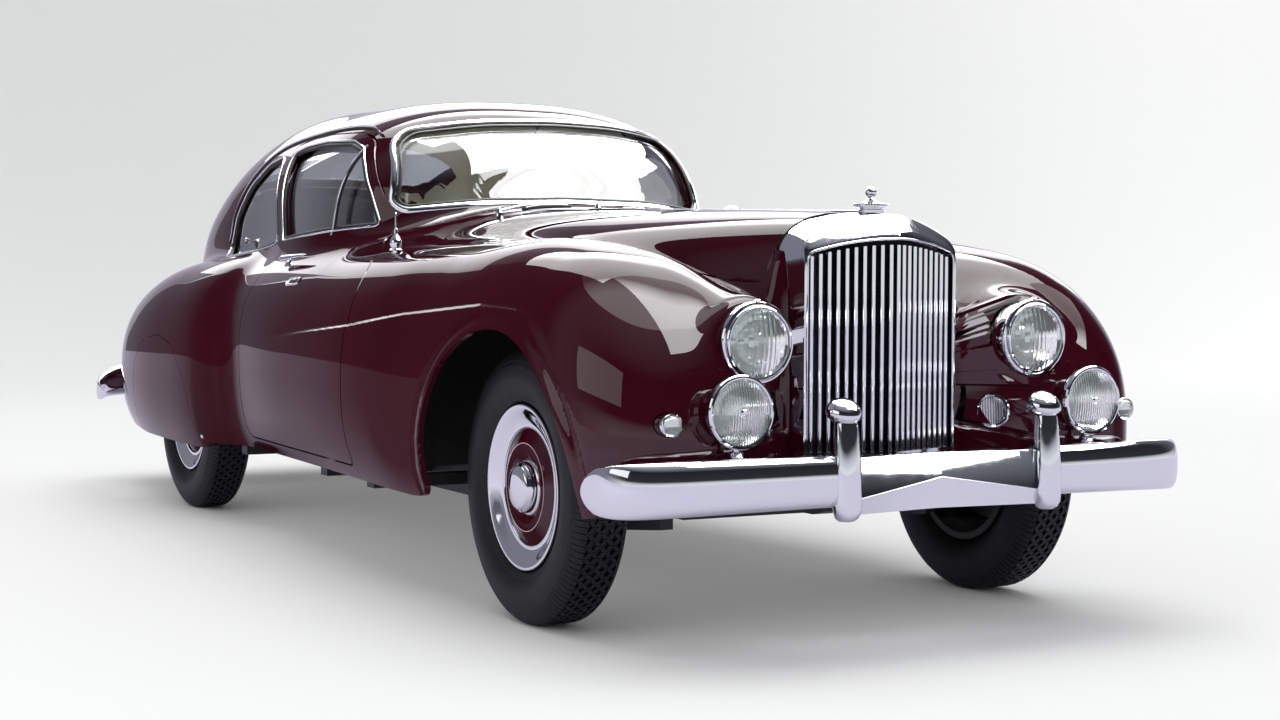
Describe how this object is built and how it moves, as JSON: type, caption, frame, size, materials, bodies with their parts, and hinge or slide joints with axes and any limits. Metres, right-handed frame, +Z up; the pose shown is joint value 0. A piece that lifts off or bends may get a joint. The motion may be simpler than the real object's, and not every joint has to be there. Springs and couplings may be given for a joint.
{
  "type": "classic car",
  "caption": "Two-door fastback grand touring car of the 1950s with an upright radiator, long bonnet, flowing wings, rear wheel spats, opening doors, bonnet and boot, and steered front wheels.",
  "frame": {"origin": "on the ground, at the centre of the bounding box in plan", "axes": "+X points to the front of the car, +Y to its left side, +Z up"},
  "size_m": [5.245, 1.8238, 1.5321],
  "materials": {
    "chassis_paint": "satin black",
    "engine_iron": "painted casting",
    "floor_paint": "satin black",
    "suspension_paint": "satin black",
    "exhaust_steel": "dull",
    "body_paint": "deep gloss maroon",
    "window_glass": "clear",
    "bright_metal": "polished",
    "lamp_glass": "fluted",
    "red_lens": "gloss",
    "black_rubber": "matte",
    "seat_leather": "soft sheen",
    "walnut": "varnished",
    "wheel_rim_plastic": "gloss",
    "wheel_paint": "gloss maroon",
    "tyre_rubber": "matte"
  },
  "bodies": {
    "car": {"chassis": "chassis_paint", "engine": "engine_iron", "floor_pan": "floor_paint", "front_suspension": "suspension_paint", "rear_axle": "suspension_paint", "exhaust": "exhaust_steel", "fuel_tank": "chassis_paint", "body_shell": "body_paint", "front_wing_left": "body_paint", "front_wing_right": "body_paint", "spats": "body_paint", "windscreen": "window_glass", "rear_window": "window_glass", "quarter_glass": "window_glass", "radiator_shell": "bright_metal", "grille": "bright_metal", "lamp_shells": "bright_metal", "lamp_lenses": "lamp_glass", "tail_lamps": "red_lens", "front_bumper": "bright_metal", "rear_bumper": "bright_metal", "wipers": "black_rubber", "aerial": "bright_metal", "front_seats": "seat_leather", "rear_seat": "seat_leather", "dashboard": "walnut", "steering_wheel": "wheel_rim_plastic"},
    "left_door": {"door_left": "body_paint", "door_glass_left": "window_glass", "door_mirror": "bright_metal"},
    "right_door": {"door_right": "body_paint", "door_glass_right": "window_glass"},
    "left_bonnet": {"bonnet_left": "body_paint"},
    "right_bonnet": {"bonnet_right": "body_paint"},
    "boot": {"boot_lid": "body_paint"},
    "left_knuckle": {"knuckle_left": "suspension_paint"},
    "right_knuckle": {"knuckle_right": "suspension_paint"},
    "front_left_wheel": {"wheel_front_left": "wheel_paint", "tyre_front_left": "tyre_rubber"},
    "front_right_wheel": {"wheel_front_right": "wheel_paint", "tyre_front_right": "tyre_rubber"},
    "rear_left_wheel": {"wheel_rear_left": "wheel_paint", "tyre_rear_left": "tyre_rubber"},
    "rear_right_wheel": {"wheel_rear_right": "wheel_paint", "tyre_rear_right": "tyre_rubber"}
  },
  "joints": [
    {"name": "left_door_hinge", "type": "hinge", "parent": "car", "child": "left_door", "pos_m": [0.7, 0.905, 0.6], "axis": [0, 0, -1], "range_deg": [0, 62]},
    {"name": "right_door_hinge", "type": "hinge", "parent": "car", "child": "right_door", "pos_m": [0.7, -0.905, 0.6], "axis": [0, 0, 1], "range_deg": [0, 62]},
    {"name": "left_bonnet_hinge", "type": "hinge", "parent": "car", "child": "left_bonnet", "pos_m": [1.3, 0, 1.1266], "axis": [0.9998, 0, -0.0191], "range_deg": [0, 75]},
    {"name": "right_bonnet_hinge", "type": "hinge", "parent": "car", "child": "right_bonnet", "pos_m": [1.3, 0, 1.1266], "axis": [-0.9998, 0, 0.0191], "range_deg": [0, 75]},
    {"name": "boot_hinge", "type": "hinge", "parent": "car", "child": "boot", "pos_m": [-1.936, 0, 1.276], "axis": [0, 1, 0], "range_deg": [0, 60]},
    {"name": "left_steer", "type": "hinge", "parent": "car", "child": "left_knuckle", "pos_m": [1.7525, 0.6175, 0.368], "axis": [0, 0, 1], "range_deg": [-30, 30]},
    {"name": "right_steer", "type": "hinge", "parent": "car", "child": "right_knuckle", "pos_m": [1.7525, -0.6175, 0.368], "axis": [0, 0, 1], "range_deg": [-30, 30]},
    {"name": "front_left_spin", "type": "hinge", "parent": "left_knuckle", "child": "front_left_wheel", "pos_m": [1.7525, 0.7175, 0.368], "axis": [0, 1, 0], "continuous": true},
    {"name": "front_right_spin", "type": "hinge", "parent": "right_knuckle", "child": "front_right_wheel", "pos_m": [1.7525, -0.7175, 0.368], "axis": [0, 1, 0], "continuous": true},
    {"name": "rear_left_spin", "type": "hinge", "parent": "car", "child": "rear_left_wheel", "pos_m": [-1.2955, 0.725, 0.368], "axis": [0, 1, 0], "continuous": true},
    {"name": "rear_right_spin", "type": "hinge", "parent": "car", "child": "rear_right_wheel", "pos_m": [-1.2955, -0.725, 0.368], "axis": [0, 1, 0], "continuous": true}
  ],
  "couplings": [
    {"joint": "left_steer", "follows": "right_steer", "ratio": 1}
  ]
}
